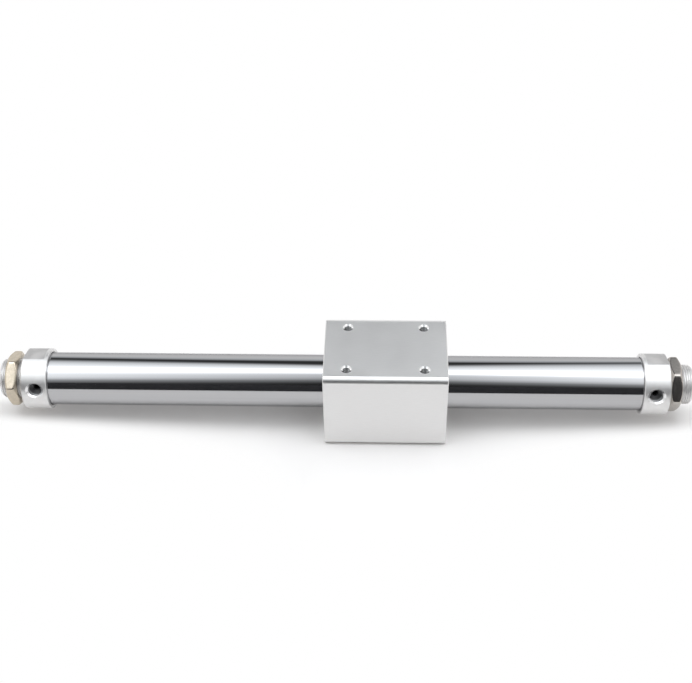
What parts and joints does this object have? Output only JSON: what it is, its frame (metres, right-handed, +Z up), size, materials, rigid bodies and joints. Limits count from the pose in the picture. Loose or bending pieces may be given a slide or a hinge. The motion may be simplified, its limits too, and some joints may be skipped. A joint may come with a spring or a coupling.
{
  "type": "rodless pneumatic cylinder",
  "caption": "Magnetically coupled rodless air cylinder: a square slider block rides along a polished tube between ported end covers with threaded noses and mounting nuts.",
  "frame": {"origin": "on the tube's axis, half way between the two end covers", "axes": "+X along the tube toward the right-hand cover, +Z up out of the slider's bolting face"},
  "size_m": [0.456, 0.06, 0.06],
  "materials": {
    "tube_steel": "mirror-polished stainless steel",
    "cover_aluminium": "turned, clear anodised",
    "slider_aluminium": "satin, clear anodised",
    "carrier_aluminium": "turned",
    "piston_aluminium": "turned",
    "nut_steel": "nickel plated, machined",
    "shaft_steel": "ground",
    "yoke_steel": "rolled, oiled",
    "magnet": "nickel plated sintered magnet",
    "spring_steel": "phosphated spring steel",
    "rubber": "black nitrile",
    "bumper_rubber": "black urethane",
    "bearing_resin": "filled bearing resin"
  },
  "bodies": {
    "cylinder": {"tube": "tube_steel", "cover_left": "cover_aluminium", "cover_right": "cover_aluminium", "mounting_nut_left": "nut_steel", "mounting_nut_right": "nut_steel", "tube_gasket_left": "rubber", "tube_gasket_right": "rubber", "tube_snap_ring_left": "spring_steel", "tube_snap_ring_right": "spring_steel"},
    "piston": {"piston_shaft": "shaft_steel", "inner_yoke_1": "yoke_steel", "inner_yoke_2": "yoke_steel", "inner_yoke_3": "yoke_steel", "inner_yoke_4": "yoke_steel", "inner_yoke_5": "yoke_steel", "inner_magnet_1": "magnet", "inner_magnet_2": "magnet", "inner_magnet_3": "magnet", "inner_magnet_4": "magnet", "piston_left": "piston_aluminium", "piston_right": "piston_aluminium", "piston_wear_ring_left": "bearing_resin", "piston_wear_ring_right": "bearing_resin", "piston_seal_left": "rubber", "piston_seal_right": "rubber", "piston_bumper_left": "bumper_rubber", "piston_bumper_right": "bumper_rubber", "piston_nut_left": "shaft_steel", "piston_nut_right": "shaft_steel"},
    "carriage": {"slider_body": "slider_aluminium", "outer_yoke_1": "yoke_steel", "outer_yoke_2": "yoke_steel", "outer_yoke_3": "yoke_steel", "outer_yoke_4": "yoke_steel", "outer_yoke_5": "yoke_steel", "outer_magnet_1": "magnet", "outer_magnet_2": "magnet", "outer_magnet_3": "magnet", "outer_magnet_4": "magnet", "bearing_carrier_left": "carrier_aluminium", "bearing_carrier_right": "carrier_aluminium", "slider_wear_ring_left": "bearing_resin", "slider_wear_ring_right": "bearing_resin", "scraper_left": "rubber", "scraper_right": "rubber", "circlip_left": "spring_steel", "circlip_right": "spring_steel"}
  },
  "joints": [
    {"name": "piston_slide", "type": "slide", "parent": "cylinder", "child": "piston", "axis": [1, 0, 0], "range_m": [-0.1776, 0.1224]},
    {"name": "slider_turn", "type": "hinge", "parent": "piston", "child": "carriage", "pos_m": [0.0276, 0, 0], "axis": [1, 0, 0], "continuous": true}
  ]
}
